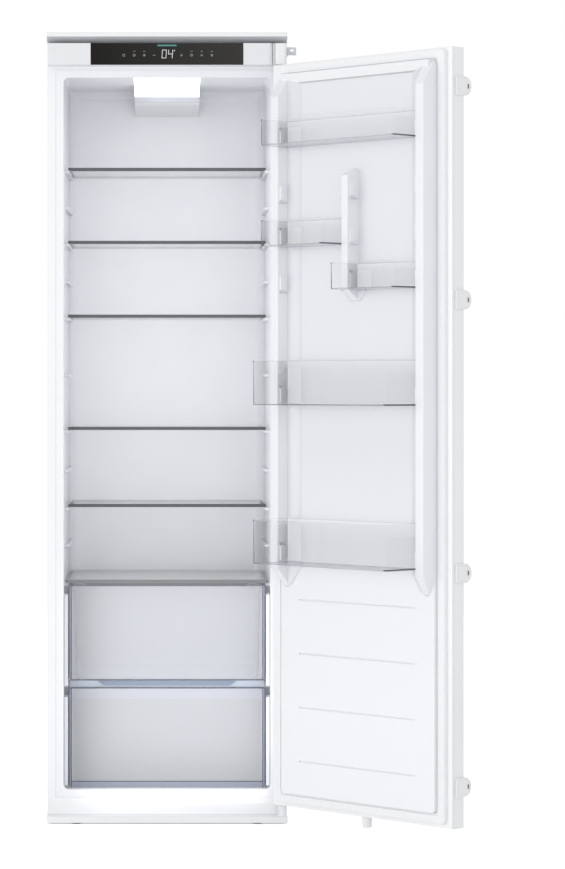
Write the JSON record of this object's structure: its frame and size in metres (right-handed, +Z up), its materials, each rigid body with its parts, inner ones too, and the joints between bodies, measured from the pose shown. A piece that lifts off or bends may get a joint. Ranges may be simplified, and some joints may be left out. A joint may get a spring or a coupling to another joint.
{
  "type": "built-in refrigerator",
  "caption": "Tall built-in larder refrigerator with its door open: glass shelves, clear drawers and door bins, fan and light unit, control strip, and compressor at the rear.",
  "frame": {"origin": "the middle of the base plate's underside: halfway across the cabinet's width, and halfway between its front frame and its rear edge", "axes": "+X to the right as seen from the front, +Y from the front into the cabinet, +Z up"},
  "size_m": [0.9167, 0.9712, 1.775],
  "materials": {
    "white_steel": "satin",
    "white_plastic": "satin",
    "liner_plastic": "satin",
    "zinc_steel": "satin",
    "black_paint": "satin",
    "black_glass": "gloss",
    "shelf_glass": "gloss",
    "clear_plastic": "gloss",
    "frame_grey": "satin",
    "lens_plastic": "satin",
    "gasket_rubber": "matte",
    "foam": "matte",
    "board": "satin",
    "aluminium": "satin",
    "dark_plastic": "matte"
  },
  "bodies": {
    "cabinet": {"outer_shell": "white_steel", "back_panel": "zinc_steel", "insulation_foam": "foam", "inner_liner": "liner_plastic", "evaporator_plate": "aluminium", "drain_tube": "white_plastic", "base_plate": "white_steel", "base_front_rail": "white_plastic", "rear_runner": "dark_plastic", "niche_fixing_tab": "zinc_steel", "top_flange": "white_plastic", "control_fascia": "white_plastic", "control_glass": "black_glass", "control_board": "board", "upper_hinge_bracket": "zinc_steel", "upper_hinge_cover": "white_plastic", "lower_hinge_bracket": "white_steel", "light_lens": "lens_plastic", "light_board": "board", "fan_housing": "white_plastic", "fan_motor": "black_paint", "compressor_carrier": "zinc_steel", "compressor": "black_paint", "drip_tray": "dark_plastic", "terminal_box": "dark_plastic", "condenser_tube": "black_paint", "condenser_grid": "black_paint"},
    "left_foot": {"front_foot_left": "dark_plastic"},
    "right_foot": {"front_foot_right": "dark_plastic"},
    "rotor": {"fan_rotor": "white_plastic"},
    "shelf_1": {"shelf_frame_1": "frame_grey", "shelf_pane_1": "shelf_glass"},
    "shelf_2": {"shelf_frame_2": "frame_grey", "shelf_pane_2": "shelf_glass"},
    "shelf_3": {"shelf_frame_3": "frame_grey", "shelf_pane_3": "shelf_glass"},
    "shelf_4": {"shelf_frame_4": "frame_grey", "shelf_pane_4": "shelf_glass"},
    "shelf_5": {"shelf_frame_5": "frame_grey", "shelf_pane_5": "shelf_glass"},
    "crisper_cover": {"crisper_cover_frame": "frame_grey", "crisper_cover_pane": "shelf_glass"},
    "upper_drawer": {"drawer_upper": "clear_plastic"},
    "lower_drawer": {"drawer_lower": "clear_plastic"},
    "door": {"door_outer_panel": "white_steel", "door_foam": "foam", "door_liner": "liner_plastic", "door_gasket": "gasket_rubber", "door_lower_bush": "white_plastic", "door_upper_bush": "white_plastic", "door_bottom_peg": "white_plastic", "slide_bracket_1": "white_plastic", "slide_bracket_2": "white_plastic", "slide_bracket_3": "white_plastic", "slide_bracket_4": "white_plastic"},
    "bin_1": {"door_bin_1": "clear_plastic"},
    "bin_2": {"door_bin_2": "clear_plastic"},
    "bin_3": {"door_bin_3": "clear_plastic"},
    "bin_4": {"door_bin_4": "clear_plastic"},
    "bin_5": {"door_bin_5": "clear_plastic"}
  },
  "joints": [
    {"name": "door_hinge", "type": "hinge", "parent": "cabinet", "child": "door", "pos_m": [0.26, -0.2831, 0.85], "axis": [0, 0, 1], "range_deg": [-133.5, 0]},
    {"name": "bin_1_lift", "type": "slide", "parent": "door", "child": "bin_1", "axis": [0, 0, 1], "range_m": [0, 0.02]},
    {"name": "bin_2_lift", "type": "slide", "parent": "door", "child": "bin_2", "axis": [0, 0, 1], "range_m": [0, 0.02]},
    {"name": "bin_3_lift", "type": "slide", "parent": "door", "child": "bin_3", "axis": [0, 0, 1], "range_m": [0, 0.02]},
    {"name": "bin_4_lift", "type": "slide", "parent": "door", "child": "bin_4", "axis": [0, 0, 1], "range_m": [0, 0.02]},
    {"name": "bin_5_lift", "type": "slide", "parent": "door", "child": "bin_5", "axis": [0, 0, 1], "range_m": [0, 0.02]},
    {"name": "shelf_1_pull", "type": "slide", "parent": "cabinet", "child": "shelf_1", "axis": [0, -1, 0], "range_m": [0, 0.2]},
    {"name": "shelf_2_pull", "type": "slide", "parent": "cabinet", "child": "shelf_2", "axis": [0, -1, 0], "range_m": [0, 0.2]},
    {"name": "shelf_3_pull", "type": "slide", "parent": "cabinet", "child": "shelf_3", "axis": [0, -1, 0], "range_m": [0, 0.2]},
    {"name": "shelf_4_pull", "type": "slide", "parent": "cabinet", "child": "shelf_4", "axis": [0, -1, 0], "range_m": [0, 0.2]},
    {"name": "shelf_5_pull", "type": "slide", "parent": "cabinet", "child": "shelf_5", "axis": [0, -1, 0], "range_m": [0, 0.2]},
    {"name": "crisper_cover_pull", "type": "slide", "parent": "cabinet", "child": "crisper_cover", "axis": [0, -1, 0], "range_m": [0, 0.15]},
    {"name": "upper_drawer_pull", "type": "slide", "parent": "cabinet", "child": "upper_drawer", "axis": [0, -1, 0], "range_m": [0, 0.3]},
    {"name": "lower_drawer_pull", "type": "slide", "parent": "cabinet", "child": "lower_drawer", "axis": [0, -1, 0], "range_m": [0, 0.17]},
    {"name": "rotor_spin", "type": "hinge", "parent": "cabinet", "child": "rotor", "pos_m": [0, -0.02, 1.655], "axis": [0, 1, 0], "continuous": true},
    {"name": "left_foot_turn", "type": "hinge", "parent": "cabinet", "child": "left_foot", "pos_m": [-0.203, -0.2705, 0], "axis": [0, 0, 1], "continuous": true},
    {"name": "right_foot_turn", "type": "hinge", "parent": "cabinet", "child": "right_foot", "pos_m": [0.203, -0.2705, 0], "axis": [0, 0, 1], "continuous": true}
  ]
}
